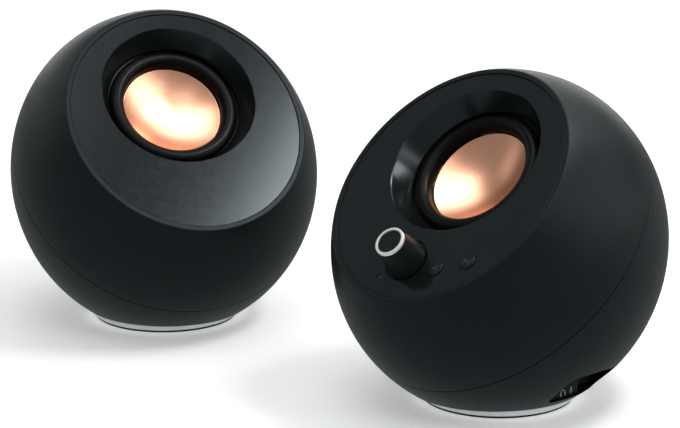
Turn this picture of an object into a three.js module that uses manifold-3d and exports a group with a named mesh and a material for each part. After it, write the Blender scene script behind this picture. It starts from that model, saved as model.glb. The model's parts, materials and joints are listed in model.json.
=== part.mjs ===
// A pair of ball-shaped desktop speakers with tilted faces.
//
// Each speaker is a two-shell ball on a lit base, with a full-range driver in a flat tilted
// face plate and a passive radiator at the back. The right speaker also holds the amplifier,
// the volume knob, two press buttons and the sockets. Sizes are in millimetres, +Z is up, and
// the origin is at table height, in the middle of the box around both speakers.

import * as THREE from 'three';
import { mergeVertices } from 'three/addons/utils/BufferGeometryUtils.js';
import Module from 'manifold-3d';

const wasm = await Module();
wasm.setup();

// ---------------------------------------------------------------- driving dimensions

// The ball: an ellipsoid whose long axes lie across the face, along it and out of it.
const BALL_ACROSS = 59.5;
const BALL_ALONG = 63.6;
const BALL_FRONT = 60.8;
const BALL_REAR = 63.4;
const BALL_HEIGHT = 58.1;
const FACE_TILT = THREE.MathUtils.degToRad(45);
const WALL = 2.5;
const GAP = 0.3;
const STRETCH = BALL_ALONG / BALL_ACROSS;

// Where the two speakers stand, and how far each is turned in towards the listener.
const RIGHT_STAND = new THREE.Vector2(57.5, -51.8);
const LEFT_STAND = new THREE.Vector2(-68.8, 51.8);
const RIGHT_YAW = THREE.MathUtils.degToRad(-45);
const LEFT_YAW = THREE.MathUtils.degToRad(22);

// The face: heights are measured from the ball's centre, out along the face's normal.
const RIM_TOP = 37.7;
const PLATE_TOP = 37.4;
const PLATE_THICKNESS = 2;
const PLATE_BOTTOM = PLATE_TOP - PLATE_THICKNESS;
const PLATE_ACROSS = 44.5;
const WELL_ACROSS = 44.8;
const LEDGE_WIDTH = 2.4;
const LEDGE_THICKNESS = 1.6;
const SHOULDER = 0.8;

// The driver, centred above the middle of the face.
const DRIVER_UP = 11.1;
const HORN_MOUTH = 30;
const HORN_LIP = 0.4;
const HORN_THROAT = 25.9;
const HORN_THROAT_TOP = 29.3;
const HORN_SKIRT_BOTTOM = 28.2;
const FLANGE_RADIUS = 28.4;
const FLANGE_TOP = 26.9;
const CONE_RADIUS = 19.2;
const CONE_EDGE = 25.4;
const CONE_DEPTH = 6.4;
const CONE_WALL = 0.8;
const COIL_INNER = 9.6;
const COIL_OUTER = 10.1;
const MAGNET_RADIUS = 20;

// The passive radiator faces straight back; these heights are measured from the ball's centre.
const RADIATOR_OPENING = 27.3;
const RADIATOR_SEAT = 50.5;
const RADIATOR_FACE = 54.5;
const RADIATOR_DISC = 17.4;

// The base, in heights above the table.
const SHELL_FLOOR = 4.3;
const FLOOR_THICKNESS = 2;
const FOOT_RADIUS = 27.6;
const FOOT_TOP = 0.7;
const BASE_RADIUS = 25.2;
const GLOW_TOP = 4;
const SCREW_SPREAD = 15;
const SCREW_CLEARANCE = 1.5;
const SCREW_HEAD_CLEARANCE = 2.9;

// The controls on the right face: distances across and up from the middle of the face.
const KNOB_PLACE = new THREE.Vector2(1.2, -32.7);
const KNOB_HEIGHT = 12.4;
const KNOB_TOP_RADIUS = 5.8;
const KNOB_FOOT_RADIUS = 7.7;
const KNOB_WELL_RADIUS = 8.2;
const KNOB_WELL_DEPTH = 1.2;
const RING_INNER = 4.7;
const RING_OUTER = 5.65;
const SHAFT_RADIUS = 2.6;
const BUSH_RADIUS = 3.5;
const BUTTON_RADIUS = 2.9;
const BUTTON_PROUD = 0.5;
const SOURCE_PLACE = new THREE.Vector2(15.3, -33);
const PAIRING_PLACE = new THREE.Vector2(26.8, -27.3);
const STATUS_PLACE = new THREE.Vector2(-5.7, -41.4);
const STATUS_RADIUS = 1;
const CONTROL_BOARD_TOP = 26.3;

// The socket pockets, in heights above the table and distances from the ball's axis.
const POCKET_LOW = 7;
const POCKET_HIGH = 18.8;
const POCKET_WALL = 1.3;
const TRAY_THICKNESS = 1.4;
const SIDE_LEDGE = 33.2;
const SIDE_FLOOR = 28.2;
const SIDE_STEP = 6.5;
const SIDE_FRONT = -12;
const SIDE_BACK = 21.2;
const REAR_FLOOR = 33;
const REAR_HALF_WIDTH = 15;
const LINK_HALF_WIDTH = 7;
const BOARD_TOP = 10.1;
const BOARD_THICKNESS = 1.6;
const BOARD_RADIUS = 27;
const JACK_AXIS = BOARD_TOP + GAP + 2.75;
const JACK_LENGTH = 12;
const JACK_HOLE = 3.2;
const SIDE_JACKS = [10.2, 17.2];
const AUX_ACROSS = 1.5;
const LINK_ACROSS = 10;
const USB_ACROSS = -9.5;

// The side pocket's outline seen from the side, as [back, up] corners.
const SIDE_OUTLINE = [
  [SIDE_FRONT, POCKET_LOW + 2],
  [SIDE_FRONT + 2, POCKET_LOW],
  [SIDE_BACK - 3, POCKET_LOW],
  [SIDE_BACK, POCKET_LOW + 3],
  [SIDE_BACK, POCKET_HIGH - 5],
  [SIDE_BACK - 3, POCKET_HIGH - 2.4],
  [5, POCKET_HIGH],
  [SIDE_FRONT + 3, POCKET_HIGH],
  [SIDE_FRONT, POCKET_HIGH - 3],
];

// How many flat sides stand for a full turn.
const BALL_SIDES = 28;
const HORN_SIDES = 28;
const ROUND_SIDES = 20;
const HIDDEN_SIDES = 14;
const SMALL_SIDES = 10;

// How many straight steps stand for the ball's profile outside and inside, and how near to
// its pole that profile starts.
const OUTSIDE_STEPS = 7;
const INSIDE_STEPS = 5;
const POLE = 0.9999;

// A distance well past the ball, for cuts that go right through it.
const PAST = 80;

// ---------------------------------------------------------------- materials

function finish(color, roughness, metalness = 0) {
  return new THREE.MeshStandardMaterial({ color, roughness, metalness });
}

const SHELL_BLACK = finish(0x15191a, 0.5);
const PLATE_BLACK = finish(0x202526, 0.38);
const COPPER = finish(0xd9a182, 0.28, 0.9);
const RUBBER = finish(0x0d0e0f, 0.42);
const STEEL = finish(0x8b8d8f, 0.35, 0.9);
const FERRITE = finish(0x2a2a2c, 0.75);
const SPIDER_CLOTH = finish(0xb8862f, 0.9);
const COIL_PAPER = finish(0x8f6a3a, 0.7);
const FROSTED = finish(0x8a8d8e, 0.4);
const KNOB_SILVER = finish(0xd8d9d8, 0.3, 0.6);
const BOARD_GREEN = finish(0x14452c, 0.55);
const SOCKET_BLACK = finish(0x101112, 0.45);
const LIGHT_PIPE = finish(0xdfe5e8, 0.2);

// ---------------------------------------------------------------- solids

// Merges shared vertices, drops collapsed triangles and turns every face outwards.
function closedSurface(geometry) {
  const bare = geometry.clone();
  bare.deleteAttribute('normal');
  bare.deleteAttribute('uv');
  const merged = mergeVertices(bare, 1e-4);
  const place = merged.getAttribute('position');
  const corners = Array.from(merged.getIndex().array);
  const kept = [];
  let volume = 0;
  const a = new THREE.Vector3();
  const b = new THREE.Vector3();
  const c = new THREE.Vector3();
  for (let i = 0; i < corners.length; i += 3) {
    const [p, q, r] = corners.slice(i, i + 3);
    if (p === q || q === r || r === p) continue;
    kept.push(p, q, r);
    a.fromBufferAttribute(place, p);
    b.fromBufferAttribute(place, q);
    c.fromBufferAttribute(place, r);
    volume += a.dot(b.cross(c)) / 6;
  }
  if (volume < 0) kept.reverse();
  merged.setIndex(kept);
  return merged;
}

function toSolid(geometry) {
  const surface = closedSurface(geometry);
  const mesh = new wasm.Mesh({
    numProp: 3,
    vertProperties: new Float32Array(surface.getAttribute('position').array),
    triVerts: new Uint32Array(surface.getIndex().array),
  });
  return new wasm.Manifold(mesh);
}

function toGeometry(solid) {
  const mesh = solid.getMesh();
  const geometry = new THREE.BufferGeometry();
  geometry.setAttribute('position', new THREE.BufferAttribute(mesh.vertProperties, 3));
  geometry.setIndex(new THREE.BufferAttribute(mesh.triVerts, 1));
  return geometry;
}

function joined(first, ...others) {
  const total = others.reduce((sum, other) => sum.add(toSolid(other)), toSolid(first));
  return toGeometry(total);
}

function cutBy(first, ...tools) {
  const rest = tools.reduce((left, tool) => left.subtract(toSolid(tool)), toSolid(first));
  return toGeometry(rest);
}

function common(first, second) {
  return toGeometry(toSolid(first).intersect(toSolid(second)));
}

// A turned solid about the Z axis. Each point is [radius, height].
function turned(profile, sides = ROUND_SIDES) {
  const points = profile.map(([radius, height]) => new THREE.Vector2(radius, height));
  return closedSurface(new THREE.LatheGeometry(points, sides).rotateX(Math.PI / 2));
}

// A turned ring: the profile closes on itself.
function turnedRing(profile, sides = ROUND_SIDES) {
  return turned([...profile, profile[0]], sides);
}

function disc(radius, low, high, sides = ROUND_SIDES) {
  return turned([[0, low], [radius, low], [radius, high], [0, high]], sides);
}

function ring(inner, outer, low, high, sides = ROUND_SIDES) {
  return turnedRing([[inner, low], [outer, low], [outer, high], [inner, high]], sides);
}

// A box given by its lowest and highest corners.
function block(low, high) {
  const size = high.map((value, i) => value - low[i]);
  const middle = high.map((value, i) => (value + low[i]) / 2);
  return closedSurface(new THREE.BoxGeometry(...size).translate(...middle));
}

// Points on a quarter ellipse between two heights, as [radius, height].
function arc(radius, depth, from, to, steps) {
  const start = Math.asin(from / depth);
  const turn = Math.asin(to / depth) - start;
  return Array.from({ length: steps + 1 }, (_, i) => {
    const angle = start + (turn * i) / steps;
    return [radius * Math.cos(angle), depth * Math.sin(angle)];
  });
}

// ---------------------------------------------------------------- the ball

const FACE_TURN = Math.PI / 2 - FACE_TILT;

// Moves a solid drawn about the face's normal to its place in the standing speaker.
function standing(geometry) {
  return geometry.rotateX(FACE_TURN).translate(0, 0, BALL_HEIGHT);
}

// The rear half of the ball as a full solid, smaller than the outer surface by an inset.
function rearBall(inset, steps) {
  const outline = arc(BALL_ACROSS - inset, BALL_REAR - inset, (inset - BALL_REAR) * POLE, 0, steps);
  outline[0][0] = 0;
  return standing(turned([...outline, [0, 0]], BALL_SIDES).scale(1, STRETCH, 1));
}

function frontShell() {
  const rim = arc(BALL_ACROSS, BALL_FRONT, GAP / 2, RIM_TOP - SHOULDER, 4);
  const [rimRadius] = rim.at(-1);
  const ledgeTop = PLATE_BOTTOM - GAP;
  const ledgeLow = ledgeTop - LEDGE_THICKNESS;
  const inside = arc(BALL_ACROSS - WALL, BALL_FRONT - WALL, GAP / 2, ledgeLow, 3).reverse();
  const profile = [
    ...rim,
    [rimRadius - SHOULDER, RIM_TOP],
    [WELL_ACROSS, RIM_TOP],
    [WELL_ACROSS, ledgeTop],
    [WELL_ACROSS - LEDGE_WIDTH, ledgeTop],
    [WELL_ACROSS - LEDGE_WIDTH, ledgeLow],
    ...inside,
  ];
  return turnedRing(profile, BALL_SIDES).scale(1, STRETCH, 1);
}

function rearShellHalf() {
  const hollow = BALL_REAR - WALL;
  const outside = arc(BALL_ACROSS, BALL_REAR, -BALL_REAR * POLE, -GAP / 2, OUTSIDE_STEPS);
  const inside = arc(BALL_ACROSS - WALL, hollow, -hollow * POLE, -GAP / 2, INSIDE_STEPS);
  outside[0][0] = 0;
  inside[0][0] = 0;
  return standing(turned([...outside, ...inside.reverse()], BALL_SIDES).scale(1, STRETCH, 1));
}

// A disc straight back from the ball's centre, between two distances.
function backwardDisc(radius, from, to, sides = ROUND_SIDES) {
  return disc(radius, from, to, sides).rotateX(-Math.PI / 2).translate(0, 0, BALL_HEIGHT);
}

function rearShell(pockets, posts) {
  const floorRing = ring(8, 29.6, SHELL_FLOOR, SHELL_FLOOR + FLOOR_THICKNESS, ROUND_SIDES);
  const collar = common(backwardDisc(30, RADIATOR_SEAT + GAP, 60), rearBall(0.6, OUTSIDE_STEPS));
  const screwHoles = [-1, 1].map((side) => disc(SCREW_CLEARANCE, 0, 10, SMALL_SIDES)
    .translate(side * SCREW_SPREAD, 0, 0));
  const below = block([-PAST, -PAST, -PAST], [PAST, PAST, SHELL_FLOOR]);
  const opening = backwardDisc(RADIATOR_OPENING, 30, PAST);
  const whole = joined(rearShellHalf(), floorRing, collar, ...posts);
  return cutBy(whole, below, opening, ...screwHoles, ...pockets);
}

// ---------------------------------------------------------------- the face and its driver

function facePlate(extraPosts, holes) {
  const plate = disc(PLATE_ACROSS, PLATE_BOTTOM, PLATE_TOP, BALL_SIDES).scale(1, STRETCH, 1);
  const horn = turned([
    [0, HORN_SKIRT_BOTTOM],
    [FLANGE_RADIUS, HORN_SKIRT_BOTTOM],
    [FLANGE_RADIUS, HORN_THROAT_TOP],
    [HORN_MOUTH + 2.2, PLATE_BOTTOM + 0.5],
    [0, PLATE_BOTTOM + 0.5],
  ], HIDDEN_SIDES).translate(0, DRIVER_UP, 0);
  const bore = turned([
    [0, HORN_SKIRT_BOTTOM - 1],
    [HORN_THROAT, HORN_SKIRT_BOTTOM - 1],
    [HORN_THROAT, HORN_THROAT_TOP],
    [HORN_MOUTH, PLATE_TOP - HORN_LIP],
    [HORN_MOUTH + HORN_LIP, PLATE_TOP + 0.1],
    [0, PLATE_TOP + 0.1],
  ], HORN_SIDES).translate(0, DRIVER_UP, 0);
  return cutBy(joined(plate, horn, ...extraPosts), bore, ...holes);
}

function basket() {
  const body = turnedRing([
    [FLANGE_RADIUS, FLANGE_TOP],
    [24.6, FLANGE_TOP],
    [24.6, 25.6],
    [17.3, 16],
    [12.4, 14.6],
    [12.4, 13.5],
    [16.3, 13.5],
    [25.8, FLANGE_TOP - 1.5],
    [FLANGE_RADIUS, FLANGE_TOP - 1.5],
  ], HIDDEN_SIDES);
  const windows = [0, 1, 2].map((turn) => block([17, -9, 17.8], [30, 9, 23.4])
    .rotateZ(((turn + 0.25) * Math.PI * 2) / 3));
  return cutBy(body, ...windows);
}

function surround() {
  return turnedRing([
    [28.2, 27.2],
    [28.2, 27.8],
    [25.3, 27.8],
    [24.6, 29.6],
    [22.4, 30.4],
    [20.2, 29.3],
    [19.5, 25.9],
    [20.2, 25.9],
    [20.8, 28.7],
    [22.4, 29.7],
    [24, 28.9],
    [24.6, 27.2],
  ], ROUND_SIDES);
}

function cone() {
  const dish = (radius) => CONE_EDGE - CONE_DEPTH * (1 - (radius / CONE_RADIUS) ** 2);
  const radii = [0, 0.4, 0.7, 0.88, 1].map((share) => share * CONE_RADIUS);
  const top = radii.map((radius) => [radius, dish(radius)]);
  const under = [...radii].reverse().map((radius) => [radius, dish(radius) - CONE_WALL]);
  return turned([...top, ...under], ROUND_SIDES);
}

function spider() {
  return turnedRing([
    [10.4, 16.3],
    [12, 16.9],
    [13.6, 16.3],
    [16.6, 16.3],
    [16.6, 16.8],
    [13.6, 16.8],
    [12, 17.4],
    [10.4, 16.8],
  ], HIDDEN_SIDES);
}

function yoke() {
  return turned([
    [0, -1.1],
    [19, -1.1],
    [19, 1.9],
    [9.1, 1.9],
    [9.1, 13.2],
    [0, 13.2],
  ], HIDDEN_SIDES);
}

// ---------------------------------------------------------------- the passive radiator

function radiatorFrame() {
  return turnedRing([
    [27, RADIATOR_FACE],
    [23, RADIATOR_FACE],
    [23, 52],
    [21.7, 52],
    [21.7, 48.6],
    [29.6, 48.6],
    [29.6, RADIATOR_SEAT],
    [27, RADIATOR_SEAT],
  ], ROUND_SIDES);
}

function radiatorSurround() {
  return turnedRing([
    [22.7, 52.3],
    [22.5, 53.7],
    [20.2, 54.9],
    [17.9, 53.7],
    [17.7, 52.3],
    [18.5, 52.3],
    [20.2, 54.1],
    [21.9, 52.3],
  ], ROUND_SIDES);
}

function radiatorDiaphragm() {
  return turned([
    [0, 50.6],
    [RADIATOR_DISC - 3, 50.6],
    [RADIATOR_DISC, 51.6],
    [RADIATOR_DISC, 53],
    [RADIATOR_DISC - 1.6, 53],
    [RADIATOR_DISC - 3.6, 51.8],
    [0, 51.8],
  ], ROUND_SIDES);
}

// ---------------------------------------------------------------- the base

function lightRing() {
  return turnedRing([
    [BASE_RADIUS + GAP, FOOT_TOP + GAP],
    [FOOT_RADIUS + GAP, FOOT_TOP + GAP],
    [29.9, 2.6],
    [31.2, GLOW_TOP],
    [BASE_RADIUS + GAP, GLOW_TOP],
  ], BALL_SIDES);
}

function basePlate() {
  const plate = disc(BASE_RADIUS, FOOT_TOP + GAP, 2.8);
  const hub = disc(19.4, 2.5, GLOW_TOP);
  const holes = [-1, 1].flatMap((side) => [
    disc(SCREW_CLEARANCE, 0, 10, SMALL_SIDES).translate(side * SCREW_SPREAD, 0, 0),
    disc(SCREW_HEAD_CLEARANCE, 0, 2.7, SMALL_SIDES).translate(side * SCREW_SPREAD, 0, 0),
  ]);
  return cutBy(joined(plate, hub), ...holes);
}

function baseScrew() {
  return turned([
    [0, 1.4],
    [2.6, 1.4],
    [2.6, 2.4],
    [1.2, 2.4],
    [1.2, 6.6],
    [0, 6.6],
  ], SMALL_SIDES);
}

// ---------------------------------------------------------------- sockets and their pockets

// A 3.5 mm socket: its nose points along +X and ends at the given distance.
function jack(noseEnd) {
  const face = noseEnd - 2.1;
  const body = block([face - JACK_LENGTH, -3.2, -2.75], [face, 3.2, 2.75]);
  const nose = disc(2.9, face - 1, noseEnd, SMALL_SIDES).rotateY(Math.PI / 2);
  const bore = disc(1.8, noseEnd - 11, noseEnd + 1, SMALL_SIDES).rotateY(Math.PI / 2);
  return cutBy(joined(body, nose), bore);
}

// A flat oval connector: a shell around a tongue, opening along +Y.
function usbSocket() {
  const shell = block([-4.6, -8.4, -1.7], [4.6, 0, 1.7]);
  const mouth = block([-4.1, -6.5, -1.25], [4.1, 1, 1.25]);
  const tongue = block([-3.2, -7, -0.4], [3.2, -1, 0.4]);
  return joined(cutBy(shell, mouth), tongue);
}

// A jack's hole through a tray, along +X.
function jackHole() {
  return disc(JACK_HOLE, 0, PAST, SMALL_SIDES).rotateY(Math.PI / 2);
}

// The side pocket's outline drawn out along X from a distance, smaller all round by an inset.
function sidePrism(from, inset = 0) {
  const corners = SIDE_OUTLINE.map((corner) => new THREE.Vector2(...corner));
  const box = new THREE.Box2().setFromPoints(corners);
  const middle = box.getCenter(new THREE.Vector2());
  const size = box.getSize(new THREE.Vector2());
  const share = new THREE.Vector2(1 - (2 * inset) / size.x, 1 - (2 * inset) / size.y);
  corners.forEach((corner) => corner.sub(middle).multiply(share).add(middle));
  const depth = PAST - from;
  const body = new THREE.ExtrudeGeometry(new THREE.Shape(corners), { depth, bevelEnabled: false });
  const turn = new THREE.Matrix4().makeBasis(
    new THREE.Vector3(0, 1, 0),
    new THREE.Vector3(0, 0, 1),
    new THREE.Vector3(1, 0, 0),
  );
  return closedSurface(body.applyMatrix4(turn).translate(from, 0, 0));
}

function behind(shape, step) {
  return common(shape, block([0, step, 0], [PAST, PAST, PAST]));
}

// The pocket is shallow in front and deep behind a step. The shell's window is a little deeper
// than the tray's floors, which fill it.
function sideWindow() {
  const margin = TRAY_THICKNESS + GAP;
  return [
    sidePrism(SIDE_LEDGE - margin),
    behind(sidePrism(SIDE_FLOOR - margin), SIDE_STEP - margin),
  ];
}

function sideTray() {
  const bottom = POCKET_LOW - 0.5;
  const top = POCKET_HIGH + POCKET_WALL;
  const floorBack = SIDE_FLOOR - TRAY_THICKNESS;
  const ledgeBack = SIDE_LEDGE - TRAY_THICKNESS;
  const walls = block(
    [floorBack, SIDE_FRONT - POCKET_WALL, bottom],
    [PAST, SIDE_BACK + POCKET_WALL, top],
  );
  const filling = common(
    sidePrism(floorBack, GAP + 0.1),
    block([0, -PAST, 0], [SIDE_LEDGE, PAST, PAST]),
  );
  const inShell = common(walls, rearBall(WALL + GAP, INSIDE_STEPS));
  const frontSpace = block([0, -PAST, 0], [ledgeBack, SIDE_STEP - POCKET_WALL, PAST]);
  const deepSpace = behind(sidePrism(SIDE_FLOOR), SIDE_STEP);
  const holes = SIDE_JACKS.map((y) => jackHole().translate(0, y, JACK_AXIS));
  return cutBy(joined(inShell, filling), frontSpace, sidePrism(SIDE_LEDGE), deepSpace, ...holes);
}

function rearPocket(halfWidth) {
  return block([-halfWidth, REAR_FLOOR, POCKET_LOW], [halfWidth, PAST, POCKET_HIGH]);
}

// The shell's cut goes a little deeper than the tray's floor, which fills it.
function rearPocketCut(halfWidth) {
  const from = REAR_FLOOR - TRAY_THICKNESS - GAP;
  return block([-halfWidth, from, POCKET_LOW], [halfWidth, PAST, POCKET_HIGH]);
}

function rearTray(halfWidth, holes) {
  const floor = block(
    [GAP - halfWidth, REAR_FLOOR - TRAY_THICKNESS, POCKET_LOW + GAP],
    [halfWidth - GAP, REAR_FLOOR + 0.2, POCKET_HIGH - GAP],
  );
  const reach = halfWidth + POCKET_WALL;
  const walls = block(
    [-reach, REAR_FLOOR - TRAY_THICKNESS, POCKET_LOW - 0.5],
    [reach, PAST, POCKET_HIGH + POCKET_WALL],
  );
  const sides = common(walls, rearBall(WALL + GAP, INSIDE_STEPS));
  return cutBy(joined(sides, floor), rearPocket(halfWidth), ...holes);
}

function backwardHole(across) {
  return jackHole().rotateZ(Math.PI / 2).translate(across, 0, JACK_AXIS);
}

// ---------------------------------------------------------------- the controls

function knobCap() {
  const foot = PLATE_TOP - KNOB_WELL_DEPTH + GAP;
  const top = PLATE_TOP + KNOB_HEIGHT;
  return turned([
    [0, top - 1.4],
    [SHAFT_RADIUS + GAP, top - 1.4],
    [SHAFT_RADIUS + GAP, foot],
    [KNOB_FOOT_RADIUS, foot],
    [KNOB_FOOT_RADIUS, foot + 0.8],
    [KNOB_TOP_RADIUS, top - 1.3],
    [RING_INNER - GAP, top - 1.3],
    [RING_INNER - GAP, top - 0.3],
    [0, top - 0.3],
  ], ROUND_SIDES);
}

function knobRing() {
  const top = PLATE_TOP + KNOB_HEIGHT;
  return turnedRing([
    [RING_INNER, top - 1],
    [RING_OUTER, top - 1],
    [RING_OUTER, top - 0.2],
    [RING_OUTER - 0.2, top],
    [RING_INNER, top],
  ], ROUND_SIDES);
}

function encoder() {
  const low = CONTROL_BOARD_TOP + GAP;
  const can = block([-5.5, -5.5, low], [5.5, 5.5, low + 6]);
  const bush = disc(BUSH_RADIUS, low + 5, PLATE_TOP - 1.4, SMALL_SIDES);
  const bore = disc(SHAFT_RADIUS + GAP, low + 2.4, PLATE_TOP, SMALL_SIDES);
  return cutBy(joined(can, bush), bore);
}

function button() {
  const proud = PLATE_TOP + BUTTON_PROUD;
  return turned([
    [0, 30],
    [1.4, 30],
    [1.4, 34.4],
    [3.9, 34.4],
    [3.9, PLATE_BOTTOM - GAP],
    [BUTTON_RADIUS, PLATE_BOTTOM - GAP],
    [BUTTON_RADIUS, proud - 0.2],
    [BUTTON_RADIUS - 0.2, proud],
    [0, proud],
  ], HIDDEN_SIDES);
}

function controlBoard() {
  const outline = new THREE.Shape([
    new THREE.Vector2(-13, -23),
    new THREE.Vector2(-13, -44),
    new THREE.Vector2(24, -44),
    new THREE.Vector2(31, -36),
    new THREE.Vector2(31, -23),
  ]);
  const sheet = new THREE.ExtrudeGeometry(outline, { depth: 1.6, bevelEnabled: false });
  const board = closedSurface(sheet.translate(0, 0, CONTROL_BOARD_TOP - 1.6));
  const switches = [SOURCE_PLACE, PAIRING_PLACE].map(({ x, y }) => block(
    [x - 2.3, y - 2.3, CONTROL_BOARD_TOP - 0.5],
    [x + 2.3, y + 2.3, CONTROL_BOARD_TOP + 3.2],
  ));
  return joined(board, ...switches);
}

function controlHoles() {
  const through = (place, radius, from, sides) => disc(radius, from, PLATE_TOP + 1, sides)
    .translate(place.x, place.y, 0);
  return [
    through(KNOB_PLACE, KNOB_WELL_RADIUS, PLATE_TOP - KNOB_WELL_DEPTH, ROUND_SIDES),
    through(KNOB_PLACE, BUSH_RADIUS + GAP, PLATE_BOTTOM - 1, SMALL_SIDES),
    through(SOURCE_PLACE, BUTTON_RADIUS + GAP, PLATE_BOTTOM - 1, HIDDEN_SIDES),
    through(PAIRING_PLACE, BUTTON_RADIUS + GAP, PLATE_BOTTOM - 1, HIDDEN_SIDES),
    through(STATUS_PLACE, STATUS_RADIUS + GAP, PLATE_BOTTOM - 1, SMALL_SIDES),
  ];
}

function controlPosts() {
  const spots = [[-10.5, -27.5], [11, -40.5]];
  return spots.map(([x, y]) => disc(1.8, CONTROL_BOARD_TOP + GAP, PLATE_TOP - 1, SMALL_SIDES)
    .translate(x, y, 0));
}

function ampBoard() {
  const sheet = disc(BOARD_RADIUS, BOARD_TOP - BOARD_THICKNESS, BOARD_TOP);
  const chips = [
    block([-18, -12, BOARD_TOP - 0.5], [-8, -2, BOARD_TOP + 1.6]),
    block([-4, -20, BOARD_TOP - 0.5], [6, -10, BOARD_TOP + 7]),
    disc(4, BOARD_TOP - 0.5, BOARD_TOP + 9, SMALL_SIDES).translate(-16, 8, 0),
  ];
  return joined(sheet, ...chips);
}

function boardPosts() {
  const spots = [[-14, -12], [14, -12], [-14, 14]];
  return spots.map(([x, y]) => disc(2, SHELL_FLOOR + 1, BOARD_TOP - BOARD_THICKNESS - GAP, SMALL_SIDES)
    .translate(x, y, 0));
}

// ---------------------------------------------------------------- assembly

function add(parent, name, geometry, material) {
  const mesh = new THREE.Mesh(closedSurface(geometry), material);
  mesh.name = name;
  parent.add(mesh);
  return mesh;
}

// A group whose Z axis is the face's normal, at the ball's centre.
function faceGroup() {
  const group = new THREE.Group();
  group.rotation.x = FACE_TURN;
  group.position.z = BALL_HEIGHT;
  return group;
}

// A group whose Z axis points straight back, at the ball's centre.
function radiatorGroup() {
  const group = new THREE.Group();
  group.rotation.x = -Math.PI / 2;
  group.position.z = BALL_HEIGHT;
  return group;
}

function addDriver(face, side) {
  const driver = new THREE.Group();
  driver.position.y = DRIVER_UP;
  face.add(driver);
  add(driver, `${side}_driver_basket`, basket(), STEEL);
  add(driver, `${side}_driver_surround`, surround(), RUBBER);
  add(driver, `${side}_driver_cone`, cone(), COPPER);
  add(driver, `${side}_voice_coil`, ring(COIL_INNER, COIL_OUTER, 5.5, 19.4, HIDDEN_SIDES), COIL_PAPER);
  add(driver, `${side}_spider`, spider(), SPIDER_CLOTH);
  add(driver, `${side}_top_plate`, ring(10.7, 19, 10.2, 13.2, HIDDEN_SIDES), STEEL);
  add(driver, `${side}_magnet`, ring(12, MAGNET_RADIUS, 2.2, 9.9, HIDDEN_SIDES), FERRITE);
  add(driver, `${side}_yoke`, yoke(), STEEL);
}

function addRadiator(speaker, side) {
  const radiator = radiatorGroup();
  speaker.add(radiator);
  add(radiator, `${side}_radiator_frame`, radiatorFrame(), SHELL_BLACK);
  add(radiator, `${side}_radiator_surround`, radiatorSurround(), RUBBER);
  add(radiator, `${side}_radiator_diaphragm`, radiatorDiaphragm(), PLATE_BLACK);
  add(radiator, `${side}_radiator_weight`, disc(9, 46.8, 50.3, HIDDEN_SIDES), STEEL);
}

function addBase(speaker, side) {
  add(speaker, `${side}_light_ring`, lightRing(), FROSTED);
  add(speaker, `${side}_led_board`, ring(19.8, BASE_RADIUS, 3.1, GLOW_TOP), BOARD_GREEN);
  add(speaker, `${side}_base_plate`, basePlate(), SOCKET_BLACK);
  add(speaker, `${side}_rubber_foot`, disc(FOOT_RADIUS, 0, FOOT_TOP, BALL_SIDES), RUBBER);
  [-1, 1].forEach((hand, i) => {
    const screw = add(speaker, `${side}_base_screw_${i + 1}`, baseScrew(), STEEL);
    screw.position.x = hand * SCREW_SPREAD;
  });
}

function addCommonPieces(speaker, face, side) {
  add(face, `${side}_front_shell`, frontShell(), SHELL_BLACK);
  addDriver(face, side);
  addRadiator(speaker, side);
  addBase(speaker, side);
}

function addControls(face) {
  const knob = new THREE.Group();
  knob.position.set(KNOB_PLACE.x, KNOB_PLACE.y, 0);
  face.add(knob);
  add(knob, 'knob_cap', knobCap(), SHELL_BLACK);
  add(knob, 'knob_ring', knobRing(), KNOB_SILVER);
  add(knob, 'encoder_shaft', disc(SHAFT_RADIUS, 29.6, PLATE_TOP + KNOB_HEIGHT - 1.7, SMALL_SIDES), STEEL);
  add(knob, 'encoder', encoder(), STEEL);
  add(face, 'control_board', controlBoard(), BOARD_GREEN);
  const source = add(face, 'source_button', button(), PLATE_BLACK);
  source.position.set(SOURCE_PLACE.x, SOURCE_PLACE.y, 0);
  const pairing = add(face, 'pairing_button', button(), PLATE_BLACK);
  pairing.position.set(PAIRING_PLACE.x, PAIRING_PLACE.y, 0);
  const pipe = add(face, 'status_light', disc(STATUS_RADIUS, 27, PLATE_TOP - 0.1, SMALL_SIDES), LIGHT_PIPE);
  pipe.position.set(STATUS_PLACE.x, STATUS_PLACE.y, 0);
}

function addSockets(speaker) {
  const usbHeight = BOARD_TOP + GAP + 1.7;
  const usbHole = block([USB_ACROSS - 4.9, 0, usbHeight - 2], [USB_ACROSS + 4.9, PAST, usbHeight + 2]);
  const rearHoles = [backwardHole(AUX_ACROSS), backwardHole(LINK_ACROSS), usbHole];
  add(speaker, 'side_port_tray', sideTray(), SHELL_BLACK);
  add(speaker, 'rear_port_tray', rearTray(REAR_HALF_WIDTH, rearHoles), SHELL_BLACK);
  add(speaker, 'amplifier_board', ampBoard(), BOARD_GREEN);
  ['headphone_jack', 'microphone_jack'].forEach((name, i) => {
    const socket = add(speaker, name, jack(SIDE_FLOOR + 0.4), SOCKET_BLACK);
    socket.position.set(0, SIDE_JACKS[i], JACK_AXIS);
  });
  Object.entries({ aux_jack: AUX_ACROSS, right_link_jack: LINK_ACROSS }).forEach(([name, across]) => {
    const socket = add(speaker, name, jack(REAR_FLOOR + 0.4), SOCKET_BLACK);
    socket.rotation.z = Math.PI / 2;
    socket.position.set(across, 0, JACK_AXIS);
  });
  const usb = add(speaker, 'usb_socket', usbSocket(), STEEL);
  usb.position.set(USB_ACROSS, REAR_FLOOR + 0.2, usbHeight);
}

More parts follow.
